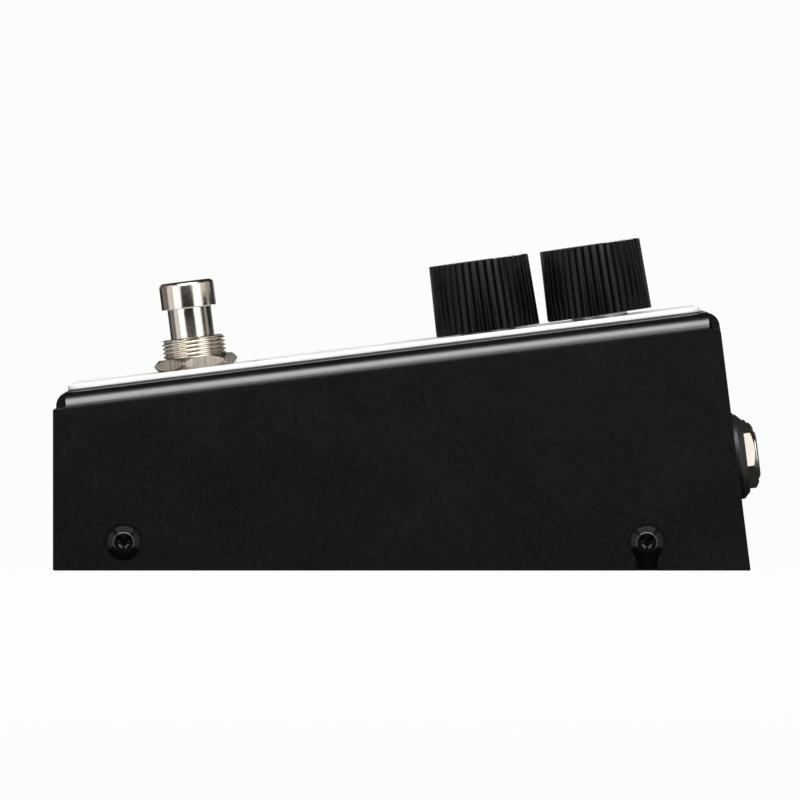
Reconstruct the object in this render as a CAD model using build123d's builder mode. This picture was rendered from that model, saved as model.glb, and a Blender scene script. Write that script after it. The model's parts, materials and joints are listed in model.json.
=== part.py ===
from build123d import *
import os
from math import cos, radians, sin

# Guitar effects pedal in a wedge-shaped folded steel case.
# Millimetres. +Z up, +Y towards the jacks at the rear, +X the input side.
# The origin is the middle of the base pan's underside.

# ---- case --------------------------------------------------------------------------------
base_length = 131.0  # case length along Y at the bottom
width = 92.0  # case width along X
front_height = 33.25  # sharp corner of the front wall and the top
slope = 7.1  # degrees that the top rises towards the rear
sheet = 1.5  # steel sheet thickness
side_bend = 3.3  # outer radius of the folds along the sides
end_bend = 2.7  # outer radius of the folds at the front and rear walls
front_inset = 0.55  # front wall behind the side walls' front edges
rear_inset = 0.05  # rear wall inside the side walls' rear edges
seam = 0.2  # open seam between end walls and side walls
cover_lift = 0.05  # cover's bottom edge above the pan's underside
foot_rounding = 0.3  # bottom corners of the side walls
hole_clearance = 0.15  # radial, round every bushing that passes the sheet
running_gap = 0.05  # radial, between turning, sliding or screwed parts

# corner reliefs, measured along the slope from a corner and down from the top
front_relief_length, front_relief_undercut = 2.45, 0.35
front_relief_drop, front_tip_drop = 2.8, 0.3
rear_relief_length = 2.0
rear_relief_drop, rear_tip_drop = 3.2, 0.5
end_wall_margin = 0.1  # end walls' corners below the side walls' reliefs
relief_rounding = 0.5

# ---- base pan and its screws -------------------------------------------------------------
pan_gap = 0.25  # pan to cover, each side
pan_bend = 2.2
flange_height = 12.0
flange_front, flange_rear, flange_bevel = -60.0, 57.5, 2.0
screw_z = 5.3
screw_front_y, screw_rear_y = -52.2, 46.0
screw_head_radius, screw_head_height, screw_radius = 3.2, 1.9, 1.45
screw_head_rounding = 1.4
screw_length = 6.0
recess_length, recess_width, recess_depth, recess_turn = 3.4, 0.8, 1.2, 40
screw_hole_radius = 1.8
dimple_radius, dimple_depth = 3.6, 0.35
slot_width = 4.1

# ---- face plate --------------------------------------------------------------------------
plate_margin = 3.8  # from the case's side faces
plate_front, plate_rear = 2.8, 122.5  # along the slope
adhesive, adhesive_inset = 0.3, 0.1
plate_top = 1.2  # plate's top face above the sheet
plate_corner, plate_rounding = 3.0, 0.3

# ---- footswitch --------------------------------------------------------------------------
switch_s = 26.9  # axis, along the slope
thread_radius = 6.0
shaft_radius = 4.15
cap_radius, cap_height, cap_rounding = 5.2, 5.05, 0.9
cap_clear = 5.65  # from the bushing's end to the cap
nut_height, nut_flats, nut_turn = 2.2, 14.0, 12.5
bushing_top = plate_top + nut_height + 3.7
bushing_bottom = -4.6
cap_bottom = bushing_top + cap_clear
switch_travel = 3.0
switch_body = 17.2
switch_wall = 1.2
switch_floor = -17.0
housing_bore_gap = 0.2
collar_radius, collar_height, collar_gap = 5.2, 2.0, 0.3
switch_pin_radius, pin_clear = 1.6, 1.5
actuator_radius, actuator_height = 1.8, 1.0
spring_outer, spring_inner, spring_gap = 3.4, 2.3, 0.1
terminal_pitch, terminal_width, terminal_sheet, terminal_length = 5.3, 2.2, 0.8, 4.5
inner_nut_level, inner_nut_height = -4.2, 2.0
lock_washer_radius, lock_washer_height = 8.5, 0.7

# ---- controls ----------------------------------------------------------------------------
knob_x = 18.5
knob_front_s, knob_rear_s = 82.65, 104.05
knob_bottom_radius, knob_top_radius = 9.8, 9.4
knob_height = 13.5
knob_front_gap, knob_rear_gap = 0.3, 0.65  # lower rims above the face plate
knob_recess_radius, knob_recess_depth = 6.6, 2.8
knob_crown = 2.2  # solid crown above the shaft
rib_count = 40
rib_depth = 0.42
rib_profile = ((0.0, 0.0), (0.5, 0.0), (0.66, rib_depth), (0.84, rib_depth))
pointer_width, pointer_length, pointer_depth = 1.1, 5.6, 0.5
pointer_centre = 5.4  # from the knob's axis
pot_width, pot_length, pot_depth = 9.8, 11.4, 6.8
pot_offset = 0.6  # body's middle below the shaft, down the slope
pot_thread_radius, pot_thread_top = 3.45, 3.7
pot_shaft_radius = 3.0
pot_cavity_radius, pot_cavity_depth, pot_floor = 4.1, 3.8, 1.3
rotor_gap, rotor_height = 0.3, 3.2
pot_washer_radius, pot_washer_height = 5.2, 0.5
pot_nut_flats, pot_nut_height = 10.0, 1.8
pin_pitch, pin_width, pin_sheet, pin_offset = 2.5, 1.0, 0.6, 5.0

# ---- status light ------------------------------------------------------------------------
led_radius, led_height = 2.5, 1.5
led_flange, led_flange_height, led_depth = 0.4, 1.0, 4.2
led_rounding = 1.2
led_hole_radius = 3.05
bezel_depth, bezel_rim, bezel_rim_height = 3.0, 0.9, 0.7
lead_pitch, lead_width = 2.54, 0.5

# ---- board -------------------------------------------------------------------------------
board_top = -9.3  # below the sheet's outer face
board_thickness = 1.6
board_front, board_rear, board_half_width, board_corner = 66.0, 117.0, 40.0, 1.0
chip_s, chip_places, chip_size = 78.0, (-24, -8, 8), (9.8, 6.4, 3.4)
can_s, can_places, can_radius, can_height = 86.0, (-34, -17, 0, 17, 34), 3.1, 7.0
film_s, film_places, film_size = 98.0, (-34, -28, -22, 20, 26, 32), (2.6, 7.2, 6.5)
film_outer_x, film_outer_shift = 30, 1.0
resistor_s, resistor_pitch, resistor_reach = 97.0, 3, 12
resistor_radius, resistor_length = 0.9, 3.6
header_size, header_s = (14.0, 5.0, 5.0), 3.0
ribbon_width, ribbon_sheet, ribbon_bend = 12.0, 0.9, 5.0
wire_radius, wire_bend = 0.55, 3.0
audio_wire_s, power_wire_s = 93.0, 104.0

# ---- rear jacks --------------------------------------------------------------------------
jack_x = 27.0
jack_v = 21.3  # height of the axes up the rear face
jack_bore = 3.25
jack_thread_radius = 4.45
jack_bushing_top, jack_bushing_depth = 4.35, 9.0
jack_body_width, jack_body_height, jack_body_depth = 15.0, 17.5, 26.0
jack_chamber, jack_back_opening = 9.0, 1.0
contact_sheet, contact_width, contact_u, contact_tail = 0.5, 3.0, 4.2, 2.0
contact_lengths = (17.0, 10.0)
washer_radius, washer_top, washer_chamfer, washer_gap = 8.0, 2.05, 1.15, 0.1
jack_nut_flats, jack_nut_height, jack_nut_turn = 11.0, 1.9, -12.5

# ---- power inlet -------------------------------------------------------------------------
power_thread_radius, power_flange_radius = 5.9, 7.0
power_front, power_back, socket_depth = 1.5, 14.0, 8.5
power_bore, power_pin_radius, power_root_radius, power_root_depth = 2.8, 1.05, 1.4, 10.0
power_pin_front, power_tail = 0.5, 3.0
power_nut_height = 2.5
power_tab_u, power_tab_width, power_tab_sheet, power_tab_length = 4.0, 2.4, 0.5, 3.5
wire_gap = 0.2  # from a terminal's end to its wire

os.makedirs("parts", exist_ok=True)

# ---- reference planes and lengths --------------------------------------------------------
tilt = radians(slope)
along = Vector(0, cos(tilt), sin(tilt))
outward = Vector(0, -sin(tilt), cos(tilt))
top_length = base_length * cos(tilt) - front_height * sin(tilt)
rear_height = base_length * sin(tilt) + front_height * cos(tilt)
panel = Plane(origin=(0, -base_length / 2, front_height), x_dir=(1, 0, 0), z_dir=outward)
rear = Plane(origin=(0, base_length / 2, 0), x_dir=(-1, 0, 0), z_dir=along)
switch_hole_radius = thread_radius + hole_clearance
pot_hole_radius = pot_thread_radius + hole_clearance


def on_panel(s, x=0.0, level=0.0):
    """Plane parallel to the top: s up the slope from the front corner, level above the sheet."""
    origin = panel.from_local_coords(Vector(x, s, level))
    return Plane(origin=origin, x_dir=panel.x_dir, z_dir=panel.z_dir)


def on_rear(v, x=0.0, level=0.0):
    """Plane parallel to the rear face: v up the face from the bottom, level outside it."""
    origin = rear.from_local_coords(Vector(-x, v, level))
    return Plane(origin=origin, x_dir=rear.x_dir, z_dir=rear.z_dir)


def on_side(side, y, z, level=0.0):
    """Plane on the right (side 1) or left (side -1) wall, facing outwards."""
    origin = (side * (width / 2 + level), y, z)
    return Plane(origin=origin, x_dir=(0, side, 0), z_dir=(side, 0, 0))


def tube(plane, radius, height, bore=0.0, mode=Mode.ADD):
    """Cylinder or tube standing on a plane, joined to the piece being built."""
    with BuildSketch(plane) as profile:
        Circle(radius)
        if bore > 0:
            Circle(bore, mode=Mode.SUBTRACT)
    extrude(profile.sketch, amount=height, mode=mode)


def block(plane, size_x, size_y, height, mode=Mode.ADD):
    """Rectangular block standing on a plane, joined to the piece being built."""
    with BuildSketch(plane) as profile:
        Rectangle(size_x, size_y)
    extrude(profile.sketch, amount=height, mode=mode)


def hexagon(plane, flats, height, bore, turn=0.0):
    """Hexagon nut standing on a plane, with its outer rim turned down."""
    with BuildSketch(plane) as profile:
        RegularPolygon(flats / 2, 6, major_radius=False, rotation=turn)
        Circle(bore, mode=Mode.SUBTRACT)
    extrude(profile.sketch, amount=height)


knob_rows = ((knob_front_s, knob_front_gap), (knob_rear_s, knob_rear_gap))
knob_places = [(x, s) for s, gap in knob_rows for x in (-knob_x, knob_x)]
knob_levels = [plate_top + gap for s, gap in knob_rows for x in (-knob_x, knob_x)]
screw_places = [
    (side, y) for side in (-1, 1) for y in (screw_front_y, screw_rear_y)
]

# ---- case: top cover ---------------------------------------------------------------------
def side_point(s, n):
    """Point of the side outline, in (Y, Z): s up the slope, n above the top."""
    corner = Vector(-base_length / 2, front_height)
    return corner + Vector(cos(tilt), sin(tilt)) * s + Vector(-sin(tilt), cos(tilt)) * n


beyond = 20.0  # how far cutting shapes reach past the case

# end walls and the top between them: one sheet folded twice, seen from the right
with BuildPart() as end_walls:
    with BuildSketch(Plane.YZ) as wrap:
        with BuildLine():
            top_front = side_point(front_inset / cos(tilt), 0)
            Polyline(
                (top_front.X, -2 * end_bend),
                top_front,
                side_point(top_length - rear_inset, 0),
                side_point(top_length - rear_inset, -rear_height - 2 * end_bend),
                close=True,
            )
        make_face()
        fillet(vertices().sort_by(Axis.Y)[-2:], end_bend)
        offset(amount=-sheet, mode=Mode.SUBTRACT)
    extrude(amount=width / 2 - sheet - seam, both=True)
    # corner reliefs: beyond the side folds the end walls stop short of the top
    for side in (-1, 1):
        with BuildSketch(Plane.YZ.offset(side * (width / 2 - side_bend))):
            with BuildLine():
                Polyline(
                    side_point(-beyond, -front_relief_drop - end_wall_margin),
                    side_point(beyond, -front_relief_drop - end_wall_margin),
                    side_point(top_length - beyond, -rear_relief_drop - end_wall_margin),
                    side_point(top_length + beyond, -rear_relief_drop - end_wall_margin),
                    side_point(top_length + beyond, beyond),
                    side_point(-beyond, beyond),
                    close=True,
                )
            make_face()
        extrude(amount=side * 2 * side_bend, mode=Mode.SUBTRACT)

with BuildPart() as top_cover:
    # top and side walls: one channel along the slope, cut to the side outline
    with BuildSketch(Plane(origin=panel.origin - along * beyond, x_dir=(1, 0, 0), z_dir=along)):
        Rectangle(width, 2 * rear_height, align=(Align.CENTER, Align.MIN))
        fillet(vertices().group_by(Axis.Y)[0], side_bend)
        offset(amount=-sheet, mode=Mode.SUBTRACT)
    extrude(amount=top_length + 2 * beyond)
    with BuildSketch(Plane.YZ):
        with BuildLine():
            front_relief = side_point(
                front_relief_length - front_relief_undercut, -front_relief_drop
            )
            rear_relief = side_point(top_length - rear_relief_length, -rear_relief_drop)
            front_tip = Vector(-base_length / 2, front_relief.Y - front_tip_drop)
            rear_tip = side_point(top_length, -rear_relief_drop - rear_tip_drop)
            Polyline(
                (-base_length / 2, cover_lift),
                front_tip,
                front_relief,
                side_point(front_relief_length, sheet),
                side_point(top_length - rear_relief_length, sheet),
                rear_relief,
                rear_tip,
                (base_length / 2 - cover_lift * sin(tilt), cover_lift),
                close=True,
            )
        make_face()
        for corner in (front_tip, front_relief, rear_relief, rear_tip):
            fillet(vertices().sort_by_distance(corner)[0], relief_rounding)
        fillet(vertices().group_by(Axis.Y)[0], foot_rounding)
    extrude(amount=width, both=True, mode=Mode.INTERSECT)
    add(end_walls.part)
    with BuildSketch(Plane.XY.offset(cover_lift)):
        Rectangle(2 * width, 2 * base_length)
    extrude(amount=-beyond, mode=Mode.SUBTRACT)
    # holes in the top and the rear wall
    holes = [(on_panel(switch_s, level=-3 * sheet), switch_hole_radius)]
    holes.append((on_panel(knob_rear_s, level=-3 * sheet), led_hole_radius))
    holes.append((on_rear(jack_v, 0, -3 * sheet), power_thread_radius + hole_clearance))
    for x, s in knob_places:
        holes.append((on_panel(s, x, -3 * sheet), pot_hole_radius))
    for x in (-jack_x, jack_x):
        holes.append((on_rear(jack_v, x, -3 * sheet), jack_thread_radius + hole_clearance))
    for plane, radius in holes:
        tube(plane, radius, 6 * sheet, mode=Mode.SUBTRACT)
    # screw seats: round holes at the front, slots open to the bottom at the rear
    for side, y in screw_places:
        tube(on_side(side, y, screw_z, -dimple_depth), dimple_radius, sheet, mode=Mode.SUBTRACT)
        with BuildSketch(on_side(side, y, screw_z, -2 * sheet)):
            if y == screw_front_y:
                Circle(screw_hole_radius)
            else:
                Circle(slot_width / 2)
                Rectangle(slot_width, 3 * screw_z, align=(Align.CENTER, Align.MAX))
        extrude(amount=3 * sheet, mode=Mode.SUBTRACT)
top_cover.part.label = "top_cover"
export_step(top_cover.part, "parts/top_cover.step")

# ---- case: base pan and screws -----------------------------------------------------------
pan_half = width / 2 - sheet - pan_gap
pan_front = -base_length / 2 + front_inset + sheet + pan_gap
pan_rear = base_length / 2 - (rear_inset + sheet) / cos(tilt) - 2 * pan_gap

with BuildPart() as base_pan:
    with BuildSketch(Plane.XZ.offset(-pan_front)):
        Rectangle(2 * pan_half, 3 * flange_height, align=(Align.CENTER, Align.MIN))
        fillet(vertices().group_by(Axis.Y)[0], pan_bend)
        offset(amount=-sheet, mode=Mode.SUBTRACT)
    extrude(amount=-(pan_rear - pan_front))
    with BuildSketch(Plane.YZ):
        with BuildLine():
            Polyline(
                (pan_front - sheet, -sheet),
                (pan_front - sheet, sheet),
                (flange_front - flange_bevel, sheet),
                (flange_front, 2 * sheet),
                (flange_front, flange_height - flange_bevel),
                (flange_front + flange_bevel, flange_height),
                (flange_rear - flange_bevel, flange_height),
                (flange_rear, flange_height - flange_bevel),
                (flange_rear, 2 * sheet),
                (flange_rear + flange_bevel, sheet),
                (pan_rear + sheet, sheet),
                (pan_rear + sheet, -sheet),
                close=True,
            )
        make_face()
    extrude(amount=width, both=True, mode=Mode.INTERSECT)
    for side, y in screw_places:
        seat = on_side(side, y, screw_z, -screw_length)
        tube(seat, screw_radius + running_gap, screw_length, mode=Mode.SUBTRACT)
base_pan.part.label = "base_pan"
export_step(base_pan.part, "parts/base_pan.step")

with BuildPart() as cover_screws:
    for side, y in screw_places:
        tube(on_side(side, y, screw_z, -dimple_depth), screw_head_radius, screw_head_height)
        crown = on_side(side, y, screw_z, screw_head_height - dimple_depth).origin
        fillet(
            edges().filter_by(GeomType.CIRCLE).sort_by_distance(crown)[0],
            screw_head_rounding,
        )
        recess_floor = screw_head_height - dimple_depth - recess_depth
        for turn in (recess_turn, recess_turn + 90):
            with BuildSketch(on_side(side, y, screw_z, recess_floor)):
                Rectangle(recess_length, recess_width, rotation=turn)
            extrude(amount=2 * recess_depth, mode=Mode.SUBTRACT)
        tube(on_side(side, y, screw_z, -dimple_depth - screw_length), screw_radius, screw_length)
cover_screws.part.label = "cover_screws"
export_step(cover_screws.part, "parts/cover_screws.step")

# ---- face plate --------------------------------------------------------------------------
plate_width = width - 2 * plate_margin
plate_length = plate_rear - plate_front
plate_centre_s = (plate_front + plate_rear) / 2


def plate_blank(level, inset):
    """Face plate outline with its holes, as a sketch on the panel."""
    with BuildSketch(on_panel(plate_centre_s, level=level)) as blank:
        RectangleRounded(plate_width - 2 * inset, plate_length - 2 * inset, plate_corner - inset)
        with Locations((0, switch_s - plate_centre_s)):
            Circle(switch_hole_radius + inset, mode=Mode.SUBTRACT)
        with Locations((0, knob_rear_s - plate_centre_s)):
            Circle(led_hole_radius + inset, mode=Mode.SUBTRACT)
        with Locations(*[(x, s - plate_centre_s) for x, s in knob_places]):
            Circle(pot_hole_radius + inset, mode=Mode.SUBTRACT)
    return blank.sketch


with BuildPart() as plate_adhesive:
    extrude(plate_blank(0, adhesive_inset), amount=adhesive)
plate_adhesive.part.label = "plate_adhesive"
export_step(plate_adhesive.part, "parts/plate_adhesive.step")

with BuildPart() as face_plate:
    extrude(plate_blank(adhesive, 0), amount=plate_top - adhesive)
    upper_rim = faces().sort_by(Axis(panel.origin, outward))[-1].outer_wire().edges()
    fillet(upper_rim, plate_rounding)
face_plate.part.label = "face_plate"
export_step(face_plate.part, "parts/face_plate.step")

# ---- footswitch --------------------------------------------------------------------------
with BuildPart() as footswitch_bushing:
    tube(
        on_panel(switch_s, level=bushing_bottom),
        thread_radius,
        bushing_top - bushing_bottom,
        shaft_radius + running_gap,
    )
footswitch_bushing.part.label = "footswitch_bushing"
export_step(footswitch_bushing.part, "parts/footswitch_bushing.step")

with BuildPart() as footswitch_housing:
    housing_depth = bushing_bottom - switch_floor
    block(on_panel(switch_s, level=switch_floor), switch_body, switch_body, housing_depth)
    inside = switch_body - 2 * switch_wall
    block(
        on_panel(switch_s, level=switch_floor),
        inside,
        inside,
        housing_depth - switch_wall,
        mode=Mode.SUBTRACT,
    )
    neck = on_panel(switch_s, level=bushing_bottom - 2 * switch_wall)
    tube(neck, shaft_radius + housing_bore_gap, 4 * switch_wall, mode=Mode.SUBTRACT)
footswitch_housing.part.label = "footswitch_housing"
export_step(footswitch_housing.part, "parts/footswitch_housing.step")

with BuildPart() as footswitch_base:
    block(on_panel(switch_s, level=switch_floor - switch_wall), switch_body, switch_body, switch_wall)
footswitch_base.part.label = "footswitch_base"
export_step(footswitch_base.part, "parts/footswitch_base.step")

collar_top = bushing_bottom - switch_wall - collar_gap
collar_bottom = collar_top - collar_height
pin_bottom = switch_floor + switch_travel + pin_clear
with BuildPart() as footswitch_plunger:
    tube(on_panel(switch_s, level=pin_bottom), switch_pin_radius, collar_bottom - pin_bottom)
    tube(on_panel(switch_s, level=collar_bottom), collar_radius, collar_height)
    tube(on_panel(switch_s, level=collar_top), shaft_radius, cap_bottom - collar_top)
    tube(on_panel(switch_s, level=cap_bottom), cap_radius, cap_height)
    cap_rim = edges().filter_by(GeomType.CIRCLE).sort_by(Axis(panel.origin, outward))[-1]
    fillet(cap_rim, cap_rounding)
footswitch_plunger.part.label = "footswitch_plunger"
export_step(footswitch_plunger.part, "parts/footswitch_plunger.step")

with BuildPart() as footswitch_actuator:
    tube(on_panel(switch_s, level=pin_bottom - actuator_height), actuator_radius, actuator_height)
footswitch_actuator.part.label = "footswitch_actuator"
export_step(footswitch_actuator.part, "parts/footswitch_actuator.step")

with BuildPart() as footswitch_spring:
    spring_bottom = switch_floor + spring_gap
    spring_length = collar_bottom - spring_gap - spring_bottom
    tube(on_panel(switch_s, level=spring_bottom), spring_outer, spring_length, spring_inner)
footswitch_spring.part.label = "footswitch_spring"
export_step(footswitch_spring.part, "parts/footswitch_spring.step")

terminal_top = switch_floor - switch_wall
with BuildPart() as footswitch_terminals:
    for column in (-terminal_pitch, 0, terminal_pitch):
        for row in (-terminal_pitch, 0, terminal_pitch):
            block(
                on_panel(switch_s + row, column, terminal_top - terminal_length),
                terminal_width,
                terminal_sheet,
                terminal_length,
            )
footswitch_terminals.part.label = "footswitch_terminals"
export_step(footswitch_terminals.part, "parts/footswitch_terminals.step")

with BuildPart() as footswitch_nut:
    hexagon(
        on_panel(switch_s, level=plate_top),
        nut_flats,
        nut_height,
        thread_radius + running_gap,
        nut_turn,
    )
footswitch_nut.part.label = "footswitch_nut"
export_step(footswitch_nut.part, "parts/footswitch_nut.step")

with BuildPart() as footswitch_inner_nut:
    hexagon(
        on_panel(switch_s, level=inner_nut_level),
        nut_flats,
        inner_nut_height,
        thread_radius + running_gap,
    )
footswitch_inner_nut.part.label = "footswitch_inner_nut"
export_step(footswitch_inner_nut.part, "parts/footswitch_inner_nut.step")

with BuildPart() as footswitch_lock_washer:
    tube(
        on_panel(switch_s, level=-sheet - lock_washer_height),
        lock_washer_radius,
        lock_washer_height,
        thread_radius + 2 * running_gap,
    )
footswitch_lock_washer.part.label = "footswitch_lock_washer"
export_step(footswitch_lock_washer.part, "parts/footswitch_lock_washer.step")

# ---- potentiometers and knobs ------------------------------------------------------------
pot_bottom = -sheet - pot_depth
rotor_bottom = pot_bottom + pot_floor + rotor_gap
rotor_top = rotor_bottom + rotor_height


def rib_points(radius):
    """Corners of a ribbed outline: a flat-topped rib, then a groove, all the way round."""
    corners = []
    for rib in range(rib_count):
        start = 360 * rib / rib_count
        for share, depth in rib_profile:
            angle = radians(start + share * 360 / rib_count)
            corners.append(((radius - depth) * cos(angle), (radius - depth) * sin(angle)))
    return corners


for number, (x, s) in enumerate(knob_places, 1):
    knob_bottom = knob_levels[number - 1]
    knob_top = knob_bottom + knob_height
    with BuildPart() as pot_body:
        block(on_panel(s - pot_offset, x, pot_bottom), pot_width, pot_length, pot_depth)
        tube(on_panel(s, x, -sheet), pot_thread_radius, pot_thread_top + sheet)
        cavity = on_panel(s, x, pot_bottom + pot_floor)
        tube(cavity, pot_cavity_radius, pot_cavity_depth, mode=Mode.SUBTRACT)
        tube(
            on_panel(s, x, rotor_top),
            pot_shaft_radius + running_gap,
            pot_thread_top - rotor_top,
            mode=Mode.SUBTRACT,
        )
    pot_body.part.label = f"pot_body_{number}"
    export_step(pot_body.part, f"parts/pot_body_{number}.step")

    with BuildPart() as pot_shaft:
        tube(on_panel(s, x, rotor_bottom), pot_cavity_radius - rotor_gap, rotor_height)
        tube(on_panel(s, x, rotor_top), pot_shaft_radius, knob_top - knob_crown - rotor_top)
    pot_shaft.part.label = f"pot_shaft_{number}"
    export_step(pot_shaft.part, f"parts/pot_shaft_{number}.step")

    with BuildPart() as knob:
        for level, radius in ((knob_bottom, knob_bottom_radius), (knob_top, knob_top_radius)):
            with BuildSketch(on_panel(s, x, level)):
                with BuildLine():
                    Polyline(*rib_points(radius), close=True)
                make_face()
        loft(ruled=True)
        tube(on_panel(s, x, knob_bottom), knob_recess_radius, knob_recess_depth, mode=Mode.SUBTRACT)
        tube(
            on_panel(s, x, knob_bottom),
            pot_shaft_radius,
            knob_height - knob_crown,
            mode=Mode.SUBTRACT,
        )
        with BuildSketch(on_panel(s, x, knob_top - pointer_depth)) as pointer_slot:
            with Locations((0, pointer_centre)):
                Rectangle(pointer_width, pointer_length)
        extrude(amount=2 * pointer_depth, mode=Mode.SUBTRACT)
    knob.part.label = f"knob_{number}"
    export_step(knob.part, f"parts/knob_{number}.step")

    with BuildPart() as knob_pointer:
        extrude(pointer_slot.sketch, amount=pointer_depth)
    knob_pointer.part.label = f"knob_pointer_{number}"
    export_step(knob_pointer.part, f"parts/knob_pointer_{number}.step")

with BuildPart() as pot_washers:
    for x, s in knob_places:
        tube(
            on_panel(s, x, plate_top),
            pot_washer_radius,
            pot_washer_height,
            pot_thread_radius + 2 * running_gap,
        )
pot_washers.part.label = "pot_washers"
export_step(pot_washers.part, "parts/pot_washers.step")

with BuildPart() as pot_nuts:
    for x, s in knob_places:
        hexagon(
            on_panel(s, x, plate_top + pot_washer_height),
            pot_nut_flats,
            pot_nut_height,
            pot_thread_radius + running_gap,
        )
pot_nuts.part.label = "pot_nuts"
export_step(pot_nuts.part, "parts/pot_nuts.step")

with BuildPart() as pot_terminals:
    for x, s in knob_places:
        for column in (-pin_pitch, 0, pin_pitch):
            foot = on_panel(s - pin_offset, x + column, board_top)
            block(foot, pin_width, pin_sheet, pot_bottom - board_top)
pot_terminals.part.label = "pot_terminals"
export_step(pot_terminals.part, "parts/pot_terminals.step")

# ---- status light ------------------------------------------------------------------------
with BuildPart() as led_bezel:
    tube(
        on_panel(knob_rear_s, level=-bezel_depth),
        led_hole_radius - running_gap,
        bezel_depth + plate_top,
        led_radius + running_gap,
    )
    tube(
        on_panel(knob_rear_s, level=plate_top),
        led_hole_radius + bezel_rim,
        bezel_rim_height,
        led_radius + running_gap,
    )
led_bezel.part.label = "led_bezel"
export_step(led_bezel.part, "parts/led_bezel.step")

with BuildPart() as led_lens:
    tube(on_panel(knob_rear_s, level=-led_depth), led_radius + led_flange, led_flange_height)
    lens_bottom = led_flange_height - led_depth
    tube(on_panel(knob_rear_s, level=lens_bottom), led_radius, plate_top + led_height - lens_bottom)
    lens_rim = edges().filter_by(GeomType.CIRCLE).sort_by(Axis(panel.origin, outward))[-1]
    fillet(lens_rim, led_rounding)
led_lens.part.label = "led_lens"
export_step(led_lens.part, "parts/led_lens.step")

with BuildPart() as led_leads:
    for x in (-lead_pitch / 2, lead_pitch / 2):
        block(on_panel(knob_rear_s, x, board_top), lead_width, lead_width, -led_depth - board_top)
led_leads.part.label = "led_leads"
export_step(led_leads.part, "parts/led_leads.step")

# ---- board and what it carries -----------------------------------------------------------
board_centre_s = (board_front + board_rear) / 2
board_under = board_top - board_thickness
with BuildPart() as main_board:
    block(
        on_panel(board_centre_s, level=board_under),
        2 * board_half_width,
        board_rear - board_front,
        board_thickness,
    )
    fillet(edges().filter_by(Axis(panel.origin, outward)), board_corner)
main_board.part.label = "main_board"
export_step(main_board.part, "parts/main_board.step")

with BuildPart() as audio_chips:
    for x in chip_places:
        block(on_panel(chip_s, x, board_under - chip_size[2]), *chip_size)
audio_chips.part.label = "audio_chips"
export_step(audio_chips.part, "parts/audio_chips.step")

with BuildPart() as electrolytic_capacitors:
    for x in can_places:
        tube(on_panel(can_s, x, board_under - can_height), can_radius, can_height)
electrolytic_capacitors.part.label = "electrolytic_capacitors"
export_step(electrolytic_capacitors.part, "parts/electrolytic_capacitors.step")

with BuildPart() as film_capacitors:
    for x in film_places:
        film_place = film_s + film_outer_shift if abs(x) > film_outer_x else film_s
        block(on_panel(film_place, x, board_under - film_size[2]), *film_size)
film_capacitors.part.label = "film_capacitors"
export_step(film_capacitors.part, "parts/film_capacitors.step")

with BuildPart() as resistors:
    for x in range(-resistor_reach, resistor_reach + 1, resistor_pitch):
        start = on_panel(resistor_s, x, board_under - resistor_radius - running_gap)
        tube(
            Plane(origin=start.origin, x_dir=(1, 0, 0), z_dir=along),
            resistor_radius,
            resistor_length,
        )
resistors.part.label = "resistors"
export_step(resistors.part, "parts/resistors.step")

with BuildPart() as cable_header:
    block(on_panel(board_front + header_s, level=board_under - header_size[2]), *header_size)
cable_header.part.label = "cable_header"
export_step(cable_header.part, "parts/cable_header.step")

# ribbon cable from the footswitch terminals to the header
with BuildPart() as ribbon_cable:
    with BuildSketch(Plane.YZ):
        with BuildLine():
            ribbon_level = terminal_top - terminal_length - ribbon_sheet / 2
            header_level = board_under - header_size[2] / 2
            header_front = board_front + header_s - header_size[1] / 2
            FilletPolyline(
                side_point(switch_s - terminal_pitch, ribbon_level),
                side_point(switch_s + switch_body - 1, ribbon_level),
                side_point(header_front - 2 * ribbon_bend, header_level),
                side_point(header_front, header_level),
                radius=ribbon_bend,
            )
        trace(line_width=ribbon_sheet)
    extrude(amount=ribbon_width / 2, both=True)
ribbon_cable.part.label = "ribbon_cable"
export_step(ribbon_cable.part, "parts/ribbon_cable.step")

# ---- rear jacks --------------------------------------------------------------------------
inner_wall = -rear_inset - sheet
deepest = inner_wall - jack_body_depth
for name, x in (("input", jack_x), ("output", -jack_x)):
    with BuildPart() as jack_bushing:
        tube(
            on_rear(jack_v, x, -jack_bushing_depth),
            jack_thread_radius,
            jack_bushing_top + jack_bushing_depth,
            jack_bore,
        )
    jack_bushing.part.label = f"{name}_jack_bushing"
    export_step(jack_bushing.part, f"parts/{name}_jack_bushing.step")

    with BuildPart() as jack_body:
        block(on_rear(jack_v, x, deepest), jack_body_width, jack_body_height, jack_body_depth)
        chamber = on_rear(jack_v, x, deepest - jack_back_opening)
        chamber_depth = -jack_bushing_depth - deepest + jack_back_opening
        block(chamber, jack_chamber, jack_chamber, chamber_depth, mode=Mode.SUBTRACT)
        tube(on_rear(jack_v, x, deepest), jack_thread_radius, jack_body_depth, mode=Mode.SUBTRACT)
    jack_body.part.label = f"{name}_jack_body"
    export_step(jack_body.part, f"parts/{name}_jack_body.step")

    with BuildPart() as jack_contacts:
        for u, length in zip((-contact_u, contact_u), contact_lengths):
            tail = on_rear(jack_v, x + u, deepest - contact_tail)
            block(tail, contact_sheet, contact_width, length)
    jack_contacts.part.label = f"{name}_jack_contacts"
    export_step(jack_contacts.part, f"parts/{name}_jack_contacts.step")

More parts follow.
